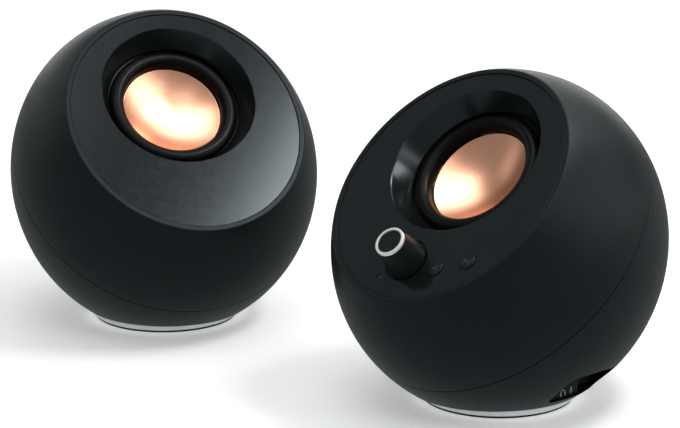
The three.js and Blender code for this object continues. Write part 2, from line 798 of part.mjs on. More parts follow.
function rightSpeaker() {
  const speaker = new THREE.Group();
  const face = faceGroup();
  speaker.add(face);
  const pockets = [...sideWindow(), rearPocketCut(REAR_HALF_WIDTH)];
  add(speaker, 'right_rear_shell', rearShell(pockets, boardPosts()), SHELL_BLACK);
  add(face, 'right_face_plate', facePlate(controlPosts(), controlHoles()), PLATE_BLACK);
  addCommonPieces(speaker, face, 'right');
  addControls(face);
  addSockets(speaker);
  speaker.rotation.z = RIGHT_YAW;
  speaker.position.set(RIGHT_STAND.x, RIGHT_STAND.y, 0);
  return speaker;
}

function leftSpeaker() {
  const speaker = new THREE.Group();
  const face = faceGroup();
  speaker.add(face);
  const pocket = rearPocketCut(LINK_HALF_WIDTH);
  add(speaker, 'left_rear_shell', rearShell([pocket], []), SHELL_BLACK);
  add(face, 'left_face_plate', facePlate([], []), PLATE_BLACK);
  addCommonPieces(speaker, face, 'left');
  add(speaker, 'left_port_tray', rearTray(LINK_HALF_WIDTH, [backwardHole(0)]), SHELL_BLACK);
  const link = add(speaker, 'left_link_jack', jack(REAR_FLOOR + 0.4), SOCKET_BLACK);
  link.rotation.z = Math.PI / 2;
  link.position.z = JACK_AXIS;
  speaker.rotation.z = LEFT_YAW;
  speaker.position.set(LEFT_STAND.x, LEFT_STAND.y, 0);
  return speaker;
}

const group = new THREE.Group();
group.add(rightSpeaker(), leftSpeaker());

// The origin is the middle of the box around both speakers, at table height.
group.updateMatrixWorld(true);
const middle = new THREE.Box3().setFromObject(group, true).getCenter(new THREE.Vector3());
group.position.set(-middle.x, -middle.y, 0);

export default group;
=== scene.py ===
"""Two ball-shaped desktop speakers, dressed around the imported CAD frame.

Every mesh is drawn in millimetres, in one of three frames of its speaker, and then set down in
metres in the row's own frame:
  - the speaker's frame stands on the table under the ball: +Y points to the back, +Z up;
  - the face's frame sits at the ball's centre, with +Z out along the face's normal and +Y up it;
  - the radiator's frame sits at the ball's centre, with +Z straight back.
"""

import json
import math

import bmesh
import bpy
import numpy as np
from mathutils import Matrix, Vector


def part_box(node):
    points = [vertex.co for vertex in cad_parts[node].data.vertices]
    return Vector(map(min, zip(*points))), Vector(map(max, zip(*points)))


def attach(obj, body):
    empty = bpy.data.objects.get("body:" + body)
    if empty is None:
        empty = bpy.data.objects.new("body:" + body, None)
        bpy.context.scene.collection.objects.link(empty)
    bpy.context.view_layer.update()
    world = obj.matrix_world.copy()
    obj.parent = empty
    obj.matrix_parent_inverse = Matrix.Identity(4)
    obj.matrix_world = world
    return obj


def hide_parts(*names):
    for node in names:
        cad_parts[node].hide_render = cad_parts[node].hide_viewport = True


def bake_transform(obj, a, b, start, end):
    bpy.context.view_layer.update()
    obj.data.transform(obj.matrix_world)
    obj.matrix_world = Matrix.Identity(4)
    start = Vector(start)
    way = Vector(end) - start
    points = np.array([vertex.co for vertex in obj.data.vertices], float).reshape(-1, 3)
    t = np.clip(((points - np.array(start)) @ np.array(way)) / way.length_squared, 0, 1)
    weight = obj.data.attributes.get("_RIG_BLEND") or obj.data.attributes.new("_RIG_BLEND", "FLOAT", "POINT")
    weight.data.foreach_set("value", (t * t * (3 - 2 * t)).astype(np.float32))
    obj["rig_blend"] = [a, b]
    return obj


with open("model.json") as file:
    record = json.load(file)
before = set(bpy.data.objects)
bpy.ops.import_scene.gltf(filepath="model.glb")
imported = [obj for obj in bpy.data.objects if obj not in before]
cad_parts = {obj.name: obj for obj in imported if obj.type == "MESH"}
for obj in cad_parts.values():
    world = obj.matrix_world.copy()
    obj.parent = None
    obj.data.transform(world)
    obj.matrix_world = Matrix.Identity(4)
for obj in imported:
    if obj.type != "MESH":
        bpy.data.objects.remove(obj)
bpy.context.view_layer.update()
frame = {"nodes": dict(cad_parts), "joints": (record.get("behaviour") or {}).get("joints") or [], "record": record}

MM = 0.001

# ------------------------------------------------------------------ driving sizes, in millimetres

BALL_ACROSS = 59.5
BALL_ALONG = 63.6
BALL_FRONT = 60.8
BALL_REAR = 63.4
BALL_HEIGHT = 58.1
STRETCH = BALL_ALONG / BALL_ACROSS
WALL = 2.5
SEAM = 0.3
GAP = 0.3
TONGUE = 1.6
TONGUE_WALL = 1.1

RIM_TOP = 37.7
RIM_ROUND = 1.1
PLATE_TOP = 37.4
PLATE_BOTTOM = 35.4
PLATE_ACROSS = 44.65
WELL_ACROSS = 44.8
LEDGE_WIDTH = 2.4

DRIVER_UP = 11.1
HORN_MOUTH = 30
HORN_LIP = 0.45
HORN_THROAT = 25.9
HORN_THROAT_TOP = 29.3
HORN_SKIRT_BOTTOM = 28.2
FLANGE_RADIUS = 28.4
CONE_RADIUS = 19.2
CONE_EDGE = 25.4
CONE_DEPTH = 6.4
CONE_WALL = 0.8
ROLL_OUTER = 25.3
ROLL_INNER = 19.5
ROLL_FOOT = 27.6
ROLL_CREST = 30.4
ROLL_WALL = 0.7

RADIATOR_OPENING = 27.3
RADIATOR_SEAT = 50.5
RADIATOR_FACE = 54.5
RADIATOR_DISC = 17.4
RADIATOR_FLANGE = 29.6
RADIATOR_BEZEL = 27
RADIATOR_BEZEL_INNER = 23
RADIATOR_SHELF = 52
RADIATOR_THROAT = 21.7
RADIATOR_BACK = 48.6
RADIATOR_ROLL_OUTER = 22.5
RADIATOR_ROLL_INNER = 17.9
RADIATOR_ROLL_LOW = 52.3
RADIATOR_ROLL_FOOT = 52.6
RADIATOR_ROLL_CREST = 54.9

SHELL_FLOOR = 4.3
FLOOR_THICKNESS = 2
FLOOR_RADIUS = 29.6
FLOOR_HOLE = 8
FOOT_RADIUS = 27.6
FOOT_TOP = 0.7
BASE_RADIUS = 25.2
GLOW_LOW = 0.85
GLOW_TOP = 4
GLOW_RADIUS = 31.2
GLOW_LIP = 2.6
GLOW_LIP_RADIUS = 29.9

KNOB_HEIGHT = 12.4
KNOB_TOP_RADIUS = 5.8
KNOB_FOOT_RADIUS = 7.7
KNOB_WELL_RADIUS = 8.2
KNOB_WELL_DEPTH = 1.2
RING_INNER = 4.7
RING_OUTER = 5.65
SHAFT_RADIUS = 2.6
BUSH_RADIUS = 3.5
BUTTON_RADIUS = 2.9
BUTTON_PROUD = 0.5
BUTTON_GAP = 0.12
BUTTON_LOW = 30
BUTTON_STEM = 1.4
COLLAR_LOW = 34.4
COLLAR_RADIUS = 3.9
STATUS_RADIUS = 1
STATUS_LOW = 27
ICON_LINE = 0.2
ICON_THICKNESS = 0.12
PRINT_LOW = PLATE_TOP + BUTTON_PROUD - 0.15
PRINT_HIGH = PLATE_TOP + BUTTON_PROUD - 0.04

POCKET_LOW = 7
POCKET_HIGH = 18.8
POCKET_CORNER = 2.2
TRAY_THICKNESS = 1.4
TRAY_WALL = 1.3
SIDE_LEDGE = 33.2
SIDE_FLOOR = 28.2
SIDE_STEP = 6.5
SIDE_FRONT = -12
SIDE_BACK = 21.2
SIDE_ICON_HEIGHT = 8.7
HEADPHONE_ICON = -1.6
MICROPHONE_ICON = 2.8
REAR_FLOOR = 33
REAR_HALF_WIDTH = 15
LINK_HALF_WIDTH = 7
JACK_HOLE = 3.2
USB_HALF_WIDTH = 4.9
USB_HALF_HEIGHT = 2
FAR = 80

BALL_SIDES = 192
ROUND_SIDES = 128
KNOB_SIDES = 96
BUTTON_SIDES = 64
SMALL_SIDES = 48
ROLL_STEPS = 24
CORNER_STEPS = 4
BALL_TOLERANCE = 0.0015
SAME_WAY = 0.97

# ------------------------------------------------------------------ places, from the frame


def joint_axis(name):
    joint = next(joint for joint in frame["joints"] if joint["name"] == name)
    return Vector(joint["axis"]).normalized()


def stand(side):
    low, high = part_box(f"{side}_rubber_foot")
    return Vector(((low.x + high.x) / 2, (low.y + high.y) / 2, low.z))


def speaker_frame(side):
    """From a speaker's own millimetres to the row's metres."""
    back = joint_axis(f"{side}_radiator_travel")
    up = Vector((0, 0, 1))
    turn = Matrix((back.cross(up), back, up)).transposed().to_4x4()
    return Matrix.Translation(stand(side)) @ turn @ Matrix.Scale(MM, 4)


def face_tilt():
    return math.acos(joint_axis("right_cone_travel").z)


SPEAKER = {side: speaker_frame(side) for side in ("right", "left")}
FACE = Matrix.Translation((0, 0, BALL_HEIGHT)) @ Matrix.Rotation(face_tilt(), 4, "X")
DRIVER = FACE @ Matrix.Translation((0, DRIVER_UP, 0))
RADIATOR = Matrix.Translation((0, 0, BALL_HEIGHT)) @ Matrix.Rotation(-math.pi / 2, 4, "X")
SIDEWAYS = Matrix(((0, 0, 1, 0), (1, 0, 0, 0), (0, 1, 0, 0), (0, 0, 0, 1)))
HOUSING = {"right": "root", "left": "left_speaker"}


def centre_in(node, place):
    """The middle of a CAD node's box in one of a speaker's frames, in millimetres."""
    back = place.inverted()
    corners = np.array([back @ vertex.co for vertex in frame["nodes"][node].data.vertices])
    return Vector((corners.min(0) + corners.max(0)) / 2)


def on_face(node):
    """The distances across and up the right face at which a CAD node sits."""
    centre = centre_in(node, SPEAKER["right"] @ FACE)
    return Vector((centre.x, centre.y, 0))


KNOB_PLACE = on_face("knob_ring")
SOURCE_PLACE = on_face("source_button")
PAIRING_PLACE = on_face("pairing_button")
STATUS_PLACE = on_face("status_light")

# ------------------------------------------------------------------ camera

LENS = 177.8
CAMERA_DISTANCE = 1.2651
CAMERA_PITCH = math.radians(15.25)
AIM_ACROSS = 0.00565
AIM_HEIGHT = 0.0543


def make_camera():
    data = bpy.data.cameras.new("camera")
    data.lens = LENS
    camera = bpy.data.objects.new("camera", data)
    bpy.context.scene.collection.objects.link(camera)
    middle = (stand("right") + stand("left")) / 2
    aim = middle + Vector((AIM_ACROSS, 0, AIM_HEIGHT))
    away = Vector((0, -math.cos(CAMERA_PITCH), math.sin(CAMERA_PITCH)))
    camera.location = aim + away * CAMERA_DISTANCE
    camera.rotation_euler = (math.pi / 2 - CAMERA_PITCH, 0, 0)
    bpy.context.scene.camera = camera


# ------------------------------------------------------------------ outlines


def soften(points):
    """Rounds an outline's corners. A point's third number is its corner's radius."""
    result = []
    for i, point in enumerate(points):
        here = Vector(point[:2])
        if len(point) == 2:
            result.append(here)
            continue
        before = (Vector(points[i - 1][:2]) - here).normalized()
        after = (Vector(points[(i + 1) % len(points)][:2]) - here).normalized()
        half = before.angle(after) / 2
        reach = point[2] / math.tan(half)
        centre = here + (before + after).normalized() * point[2] / math.sin(half)
        start = here + before * reach - centre
        end = here + after * reach - centre
        for step in range(CORNER_STEPS + 1):
            share = step / CORNER_STEPS
            result.append(centre + start.lerp(end, share).normalized() * point[2])
    return result


def ball_arc(radius, depth, low, high, steps):
    """Points on the ball's profile between two heights in the face's frame."""
    start = math.asin(max(-1, low / depth))
    turn = math.asin(min(1, high / depth)) - start
    angles = [start + turn * i / steps for i in range(steps + 1)]
    return [(radius * math.cos(angle), depth * math.sin(angle)) for angle in angles]


def half_roll(inner, outer, foot, crest):
    """Points over a rubber roll, from its inner foot over its crest to its outer foot."""
    middle = (inner + outer) / 2
    reach = (outer - inner) / 2
    angles = [math.pi * (1 - i / ROLL_STEPS) for i in range(ROLL_STEPS + 1)]
    return [(middle + reach * math.cos(a), foot + (crest - foot) * math.sin(a)) for a in angles]


# ------------------------------------------------------------------ meshes


def mesh_from(bm):
    bmesh.ops.recalc_face_normals(bm, faces=bm.faces)
    mesh = bpy.data.meshes.new("mesh")
    bm.to_mesh(mesh)
    bm.free()
    return mesh


def turned(outline, sides=ROUND_SIDES, stretch=1.0):
    """A body turned about Z. Its outline closes on itself, or starts and ends on the axis."""
    bm = bmesh.new()
    angles = [2 * math.pi * i / sides for i in range(sides)]
    turns = [(math.cos(angle), stretch * math.sin(angle)) for angle in angles]
    rings = []
    for radius, height in outline:
        on_axis = radius < 1e-6
        spots = [(0, 0)] if on_axis else [(radius * x, radius * y) for x, y in turns]
        rings.append([bm.verts.new((x, y, height)) for x, y in spots])
    closes = all(len(ring) > 1 for ring in rings)
    nexts = rings[1:] + rings[:1] if closes else rings[1:]
    for low, high in zip(rings, nexts):
        for i in range(sides):
            j = (i + 1) % sides
            lower = [low[i % len(low)], low[j % len(low)]]
            upper = [high[j % len(high)], high[i % len(high)]]
            bm.faces.new(dict.fromkeys(lower + upper))
    return mesh_from(bm)


def disc(radius, low, high, sides=SMALL_SIDES, edge=None):
    corner = (edge,) if edge else ()
    points = [(0, low), (radius, low, *corner), (radius, high, *corner), (0, high)]
    return turned(soften(points), sides)


def ring(inner, outer, low, high, sides=ROUND_SIDES, edge=0.15):
    corners = [(inner, low), (outer, low), (outer, high), (inner, high)]
    return turned(soften([(*corner, edge) for corner in corners]), sides)


def prism(outline, low, high):
    """A closed outline in the XY plane, drawn out along Z."""
    bm = bmesh.new()
    bottom = [bm.verts.new((x, y, low)) for x, y in outline]
    top = [bm.verts.new((x, y, high)) for x, y in outline]
    bm.faces.new(bottom)
    bm.faces.new(top)
    for i in range(len(outline)):
        j = (i + 1) % len(outline)
        bm.faces.new((bottom[i], bottom[j], top[j], top[i]))
    return mesh_from(bm)


def block(low, high, corners=(0, 0, 0, 0), along="Z"):
    """A box from its lowest to its highest corner, with four edges rounded along one axis."""
    a, b, c = {"X": (1, 2, 0), "Y": (2, 0, 1), "Z": (0, 1, 2)}[along]
    spots = [(low[a], low[b]), (high[a], low[b]), (high[a], high[b]), (low[a], high[b])]
    outline = [(*spot, corner) if corner else spot for spot, corner in zip(spots, corners)]
    mesh = prism(soften(outline), low[c], high[c])
    rows = [[0, 0, 0, 0] for _ in range(3)]
    for column, row in enumerate((a, b, c)):
        rows[row][column] = 1
    mesh.transform(Matrix((*rows, (0, 0, 0, 1))))
    return mesh


def moved(mesh, matrix):
    mesh.transform(matrix)
    return mesh


def shifted(mesh, x=0, y=0, z=0):
    return moved(mesh, Matrix.Translation((x, y, z)))


def combined(operation, first, others):
    """Joins, cuts or intersects closed meshes, and gives back one mesh."""
    result = first
    for other in others:
        body = bpy.data.objects.new("body", result)
        tool = bpy.data.objects.new("tool", other)
        for thing in (body, tool):
            bpy.context.scene.collection.objects.link(thing)
        step = body.modifiers.new("step", "BOOLEAN")
        step.operation = operation
        step.solver = "MANIFOLD"
        step.object = tool
        depsgraph = bpy.context.evaluated_depsgraph_get()
        result = bpy.data.meshes.new_from_object(body.evaluated_get(depsgraph))
        for thing in (body, tool):
            bpy.data.objects.remove(thing)
    return result


def cut(first, *tools):
    return combined("DIFFERENCE", first, tools)


def joined(first, *others):
    return combined("UNION", first, others)


def common(first, second):
    return combined("INTERSECT", first, [second])


def gathered(*meshes):
    """Several separate bodies as one mesh."""
    bm = bmesh.new()
    for mesh in meshes:
        bm.from_mesh(mesh)
    return mesh_from(bm)


def stroke(points, width, low, high):
    """A flat line of even width along points in the XY plane, as a thin closed body."""
    spots = [Vector(point) for point in points]
    before = [spots[0] * 2 - spots[1], *spots[:-1]]
    after = [*spots[1:], spots[-1] * 2 - spots[-2]]
    sides = []
    for spot, last, following in zip(spots, before, after):
        along = ((following - spot).normalized() + (spot - last).normalized()).normalized()
        sides.append(Vector((-along.y, along.x)) * width / 2)
    left = [spot + side for spot, side in zip(spots, sides)]
    right = [spot - side for spot, side in zip(spots, sides)]
    return prism(left + right[::-1], low, high)


def arc_points(centre, radius, start, end, steps=16):
    """Points on an arc between two angles in degrees."""
    angles = [math.radians(start + (end - start) * i / steps) for i in range(steps + 1)]
    return [(centre[0] + radius * math.cos(a), centre[1] + radius * math.sin(a)) for a in angles]


# ------------------------------------------------------------------ material building blocks


class Material:
    """A node material on one Principled shader, built up a layer at a time."""

    def __init__(self, name, metallic=0.0, specular=0.5):
        self.material = bpy.data.materials.new(name)
        self.material.use_nodes = True
        self.nodes = self.material.node_tree.nodes
        self.links = self.material.node_tree.links
        self.shader = self.nodes["Principled BSDF"]
        self.set("Metallic", metallic)
        self.set("Specular IOR Level", specular)
        self.where = self.nodes.new("ShaderNodeTexCoord").outputs["Object"]

    def set(self, socket, value):
        self.shader.inputs[socket].default_value = value

    def noise(self, size, detail=2.0, squeeze=None):
        """Noise whose features are about so many millimetres across."""
        node = self.nodes.new("ShaderNodeTexNoise")
        node.inputs["Scale"].default_value = 1 / (size * MM)
        node.inputs["Detail"].default_value = detail
        self.links.new(self.squeezed(squeeze) if squeeze else self.where, node.inputs["Vector"])
        return node.outputs["Fac"]

    def squeezed(self, scale):
        node = self.nodes.new("ShaderNodeMapping")
        node.inputs["Scale"].default_value = scale
        self.links.new(self.where, node.inputs["Vector"])
        return node.outputs["Vector"]

    def grid(self, size):
        """A pattern of cells, each about size millimetres across."""
        node = self.nodes.new("ShaderNodeTexVoronoi")
        node.inputs["Scale"].default_value = 1 / (size * MM)
        self.links.new(self.where, node.inputs["Vector"])
        return node.outputs["Distance"]

    def rings(self, size):
        """Fine turning lines: noise along the distance from a turned piece's axis."""
        attribute = self.nodes.new("ShaderNodeAttribute")
        attribute.attribute_name = "from_axis"
        node = self.nodes.new("ShaderNodeTexNoise")
        node.noise_dimensions = "1D"
        node.inputs["Scale"].default_value = 1 / size
        node.inputs["Detail"].default_value = 2
        self.links.new(attribute.outputs["Fac"], node.inputs["W"])
        return node.outputs["Fac"]

    def colour(self, pattern, first, second, low=0.35, high=0.65):
        """Two colours, mixed by a pattern."""
        ramp = self.nodes.new("ShaderNodeValToRGB")
        ramp.color_ramp.elements[0].position = low
        ramp.color_ramp.elements[0].color = (*first, 1)
        ramp.color_ramp.elements[1].position = high
        ramp.color_ramp.elements[1].color = (*second, 1)
        self.links.new(pattern, ramp.inputs["Fac"])
        self.links.new(ramp.outputs["Color"], self.shader.inputs["Base Color"])
        return self

    def gloss(self, pattern, low, high):
        """A roughness that wanders between two values."""
        node = self.nodes.new("ShaderNodeMapRange")
        node.inputs["From Min"].default_value = 0.3
        node.inputs["From Max"].default_value = 0.7
        node.inputs["To Min"].default_value = low
        node.inputs["To Max"].default_value = high
        self.links.new(pattern, node.inputs["Value"])
        self.links.new(node.outputs["Result"], self.shader.inputs["Roughness"])
        return self

    def relief(self, pattern, depth, strength=1.0):
        """Fine relief of so many millimetres, laid over any relief that is there already."""
        node = self.nodes.new("ShaderNodeBump")
        node.inputs["Distance"].default_value = depth * MM
        node.inputs["Strength"].default_value = strength
        self.links.new(pattern, node.inputs["Height"])
        normal = self.shader.inputs["Normal"]
        if normal.is_linked:
            self.links.new(normal.links[0].from_socket, node.inputs["Normal"])
        self.links.new(node.outputs["Normal"], normal)
        return self


def shell_black():
    made = Material("moulded_black", specular=0.22)
    made.set("Specular Tint", (0.84, 1, 1.05, 1))
    made.colour(made.noise(9, 4), (0.0036, 0.0050, 0.0054), (0.0046, 0.0062, 0.0066))
    made.gloss(made.noise(1.4, 5), 0.38, 0.46)
    made.relief(made.grid(0.22), 0.012, 0.35)
    return made.material


def plate_black():
    made = Material("satin_face", specular=0.4)
    made.set("Specular Tint", (0.86, 1, 1.04, 1))
    made.colour(made.noise(12, 4), (0.0040, 0.0055, 0.0059), (0.0050, 0.0067, 0.0071))
    made.gloss(made.noise(2.0, 5), 0.15, 0.19)
    made.relief(made.grid(0.16), 0.008, 0.3)
    return made.material


def copper():
    made = Material("copper_anodised", metallic=1.0)
    made.colour(made.rings(0.5), (0.95, 0.47, 0.30), (0.97, 0.51, 0.33))
    made.gloss(made.rings(0.12), 0.29, 0.35)
    made.relief(made.rings(0.1), 0.001, 0.3)
    return made.material


def rubber():
    made = Material("butyl_rubber", specular=0.13)
    made.colour(made.noise(5, 4), (0.0012, 0.0014, 0.0015), (0.0020, 0.0023, 0.0024))
    made.gloss(made.noise(0.9, 4), 0.3, 0.4)
    made.relief(made.noise(0.3, 3), 0.006, 0.4)
    return made.material


def foot_rubber():
    made = Material("foot_rubber", specular=0.3)
    made.colour(made.noise(4, 4), (0.008, 0.008, 0.0085), (0.014, 0.014, 0.015))
    made.gloss(made.noise(0.7, 4), 0.7, 0.85)
    made.relief(made.noise(0.25, 3), 0.02, 0.5)
    return made.material


def steel():
    made = Material("plated_steel", metallic=1.0)
    made.colour(made.noise(3, 4), (0.42, 0.42, 0.41), (0.52, 0.52, 0.51))
    made.gloss(made.noise(0.8, 4), 0.26, 0.4)
    made.relief(made.noise(0.2, 3), 0.004, 0.4)
    return made.material


def ferrite():
    made = Material("ferrite", specular=0.4)
    made.colour(made.noise(1.5, 5), (0.018, 0.018, 0.02), (0.04, 0.04, 0.043))
    made.gloss(made.noise(0.8, 4), 0.6, 0.8)
    made.relief(made.grid(0.35), 0.04, 0.6)
    return made.material


def spider_cloth():
    made = Material("spider_cloth", specular=0.2)
    made.colour(made.grid(0.45), (0.30, 0.17, 0.035), (0.48, 0.29, 0.07), 0.1, 0.6)
    made.gloss(made.noise(0.6, 3), 0.8, 0.95)
    made.relief(made.grid(0.45), 0.12, 0.8)
    return made.material


def coil_paper():
    made = Material("coil_windings", specular=0.5)
    turns = made.noise(0.25, 1, squeeze=(0.05, 0.05, 1))
    made.colour(turns, (0.20, 0.09, 0.03), (0.42, 0.20, 0.07))
    made.gloss(made.noise(0.8, 3), 0.35, 0.5)
    made.relief(turns, 0.05, 0.6)
    return made.material


def frosted():
    made = Material("frosted_diffuser", specular=0.5)
    made.colour(made.noise(6, 3), (0.74, 0.76, 0.77), (0.80, 0.82, 0.83))
    made.gloss(made.noise(1.0, 4), 0.38, 0.5)
    made.relief(made.noise(0.25, 3), 0.006, 0.4)
    made.set("Subsurface Weight", 0.5)
    made.set("Subsurface Radius", (0.004, 0.004, 0.004))
    made.set("Subsurface Scale", 1.0)
    return made.material


def knob_silver():
    made = Material("satin_silver", metallic=0.35)
    made.colour(made.rings(0.3), (0.72, 0.73, 0.73), (0.78, 0.79, 0.79))
    made.gloss(made.rings(0.1), 0.3, 0.4)
    made.relief(made.rings(0.09), 0.002, 0.4)
    return made.material


def board_green():
    made = Material("circuit_board", specular=0.5)
    made.colour(made.grid(1.6), (0.006, 0.05, 0.02), (0.02, 0.11, 0.045), 0.2, 0.5)
    made.gloss(made.noise(0.9, 3), 0.3, 0.45)
    made.relief(made.grid(1.6), 0.03, 0.5)
    return made.material


def socket_black():
    made = Material("socket_plastic", specular=0.45)
    made.colour(made.noise(3, 4), (0.006, 0.006, 0.0065), (0.010, 0.010, 0.011))
    made.gloss(made.noise(0.8, 4), 0.4, 0.55)
    made.relief(made.noise(0.2, 3), 0.01, 0.4)
    return made.material


def light_pipe():
    made = Material("light_pipe", specular=0.5)
    made.colour(made.noise(1, 3), (0.014, 0.015, 0.016), (0.024, 0.025, 0.026))
    made.gloss(made.noise(0.5, 3), 0.12, 0.22)
    made.relief(made.noise(0.4, 2), 0.004, 0.3)
    return made.material


def printed(name, dark, light):
    made = Material(name, specular=0.3)
    made.colour(made.noise(0.4, 3), dark, light)
    made.gloss(made.noise(0.3, 3), 0.5, 0.65)
    made.relief(made.noise(0.12, 3), 0.01, 0.5)
    return made.material


LOOKS = {
    "shell_black": shell_black(),
    "plate_black": plate_black(),
    "copper_cone": copper(),
    "rubber": rubber(),
    "steel": steel(),
    "ferrite": ferrite(),
    "spider_cloth": spider_cloth(),
    "coil": coil_paper(),
    "frosted_glow": frosted(),
    "knob_silver": knob_silver(),
    "board_green": board_green(),
    "socket_black": socket_black(),
    "light_pipe": light_pipe(),
}
FOOT_LOOK = foot_rubber()
BRIGHT_PRINT = printed("bright_print", (0.20, 0.205, 0.21), (0.27, 0.275, 0.28))
DIM_PRINT = printed("dim_print", (0.045, 0.047, 0.048), (0.065, 0.067, 0.068))

# ------------------------------------------------------------------ setting pieces down

CREASE = math.radians(32)


def mark_axis_distance(mesh):
    """Stores each point's distance from the turning axis, in millimetres, for turning lines."""
    places = np.array([vertex.co for vertex in mesh.vertices])
    attribute = mesh.attributes.new("from_axis", "FLOAT", "POINT")
    attribute.data.foreach_set("value", np.hypot(places[:, 0], places[:, 1]).astype(np.float32))
    return mesh


def shade(piece):
    """Smooth shading with creases, and flats that stay flat beside rounded edges."""
    piece.data.shade_smooth()
    piece.data.set_sharp_from_angle(angle=CREASE)
    even = piece.modifiers.new("even", "WEIGHTED_NORMAL")
    even.keep_sharp = True
    even.weight = 100


def set_down(name, mesh, place, slot, look=None):
    """Makes a piece from a mesh in one of a speaker's frames."""
    piece = bpy.data.objects.new(name, mesh)
    bpy.context.scene.collection.objects.link(piece)
    mesh.transform(place)
    mesh.materials.clear()
    mesh.materials.append(look or LOOKS[slot])
    shade(piece)
    return piece


def stand_in(node, mesh, place, body, slot, look=None):
    """Makes a piece that stands for the CAD node of the same name."""
    piece = set_down(f"{node}_detailed", mesh, place, slot, look)
    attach(piece, body)
    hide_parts(node)
    return piece


def shade_as_ball(piece, place):
    """Shades a shell's outside with the true ball's own normals, whatever was cut from it."""
    depsgraph = bpy.context.evaluated_depsgraph_get()
    mesh = bpy.data.meshes.new_from_object(piece.evaluated_get(depsgraph))
    to_face = place.inverted()
    spots = np.array([to_face @ vertex.co for vertex in mesh.vertices])
    depth = np.where(spots[:, 2] > 0, BALL_FRONT, BALL_REAR)
    sizes = np.stack([np.full(len(spots), BALL_ACROSS), np.full(len(spots), BALL_ALONG), depth], 1)
    on_ball = np.abs(np.linalg.norm(spots / sizes, axis=1) - 1) < BALL_TOLERANCE
    outward = (spots / sizes**2) @ np.array(to_face.to_3x3())
    outward /= np.linalg.norm(outward, axis=1)[:, None]
    normals = np.array([corner.vector for corner in mesh.corner_normals])
    for polygon in mesh.polygons:
        for loop in polygon.loop_indices:
            vertex = mesh.loops[loop].vertex_index
            if on_ball[vertex] and polygon.normal.dot(Vector(outward[vertex])) > SAME_WAY:
                normals[loop] = outward[vertex]
    mesh.normals_split_custom_set([Vector(normal) for normal in normals])
    piece.modifiers.clear()
    piece.data = mesh


# ------------------------------------------------------------------ shells


def front_shell():
    rim = BALL_ACROSS * math.sqrt(1 - (RIM_TOP / BALL_FRONT) ** 2)
    hollow = BALL_ACROSS - WALL
    ledge_top = PLATE_BOTTOM - SEAM
    ledge_low = ledge_top - TONGUE
    seam = SEAM / 2
    outside = ball_arc(BALL_ACROSS, BALL_FRONT, seam, RIM_TOP - RIM_ROUND * 1.5, 34)
    inside = ball_arc(hollow, BALL_FRONT - WALL, seam, ledge_low, 20)[::-1]
    points = [
        (*outside[0], 0.12),
        *outside[1:],
        (rim, RIM_TOP, RIM_ROUND),
        (WELL_ACROSS, RIM_TOP, 0.15),
        (WELL_ACROSS, ledge_top),
        (WELL_ACROSS - LEDGE_WIDTH, ledge_top),
        (WELL_ACROSS - LEDGE_WIDTH, ledge_low),
        *inside,
        (hollow, -TONGUE),
        (hollow + TONGUE_WALL, -TONGUE),
        (hollow + TONGUE_WALL, seam),
    ]
    return turned(soften(points), BALL_SIDES, STRETCH)


def rear_ball(inset, steps=60):
    """The rear half of the ball as a full body in the speaker's frame, smaller by an inset."""
    depth = BALL_REAR - inset
    outline = ball_arc(BALL_ACROSS - inset, depth, -depth, 0, steps)
    return moved(turned([(0, -depth), *outline[1:], (0, 0)], BALL_SIDES, STRETCH), FACE)


def rear_half():
    seam = SEAM / 2
    hollow = BALL_ACROSS - WALL
    rebate = hollow + TONGUE_WALL + 0.2
    outside = ball_arc(BALL_ACROSS, BALL_REAR, -BALL_REAR, -seam, 60)
    inside = ball_arc(hollow, BALL_REAR - WALL, WALL - BALL_REAR, -TONGUE - SEAM, 40)[::-1]
    points = [
        (0, -BALL_REAR),
        *outside[1:-1],
        (*outside[-1], 0.12),
        (rebate, -seam),
        (rebate, -TONGUE - SEAM),
        *inside[:-1],
        (0, WALL - BALL_REAR),
    ]
    return moved(turned(soften(points), BALL_SIDES, STRETCH), FACE)


def radiator_opening():
    """The hole for the radiator, with a mouth that opens out as a rounded edge does."""
    flare = [(RADIATOR_OPENING + 2.2 * (1 - math.cos(a)), 54.9 + 3.6 * math.sin(a))
             for a in (math.radians(10 * step) for step in range(9))]
    outline = [(0, 30), (RADIATOR_OPENING, 30), *flare, (RADIATOR_OPENING + 6, FAR), (0, FAR)]
    return moved(turned(outline), RADIATOR)


def side_prism(start, inset=0.0):
    """The side pocket's outline drawn out along X from a distance, smaller all round."""
    outline = np.array(soften([
        (SIDE_FRONT, POCKET_LOW, 3),
        (SIDE_BACK, POCKET_LOW, 4.5),
        (SIDE_BACK, POCKET_HIGH - 3.4, 4),
        (5, POCKET_HIGH, 8),
        (SIDE_FRONT, POCKET_HIGH, 4.5),
    ]))
    middle = (outline.min(0) + outline.max(0)) / 2
    share = 1 - 2 * inset / (outline.max(0) - outline.min(0))
    mesh = prism(middle + (outline - middle) * share, start, FAR)
    return moved(mesh, SIDEWAYS)


def behind(shape, step):
    return common(shape, block((0, step, 0), (FAR + 1, FAR, FAR)))


def rear_pocket(half_width, margin=0.0):
    low = (-half_width, REAR_FLOOR - margin, POCKET_LOW)
    return block(low, (half_width, FAR, POCKET_HIGH), [POCKET_CORNER] * 4, "Y")


def rear_shell(pockets):
    floor_top = SHELL_FLOOR + FLOOR_THICKNESS
    floor = ring(FLOOR_HOLE, FLOOR_RADIUS, SHELL_FLOOR, floor_top, edge=0.01)
    collar = moved(disc(30, RADIATOR_SEAT + SEAM, 60, ROUND_SIDES), RADIATOR)
    collar = common(collar, rear_ball(0.6))
    below = block((-FAR, -FAR, -FAR), (FAR, FAR, SHELL_FLOOR))
    whole = joined(rear_half(), floor, collar)
    return cut(whole, below, radiator_opening(), *pockets)


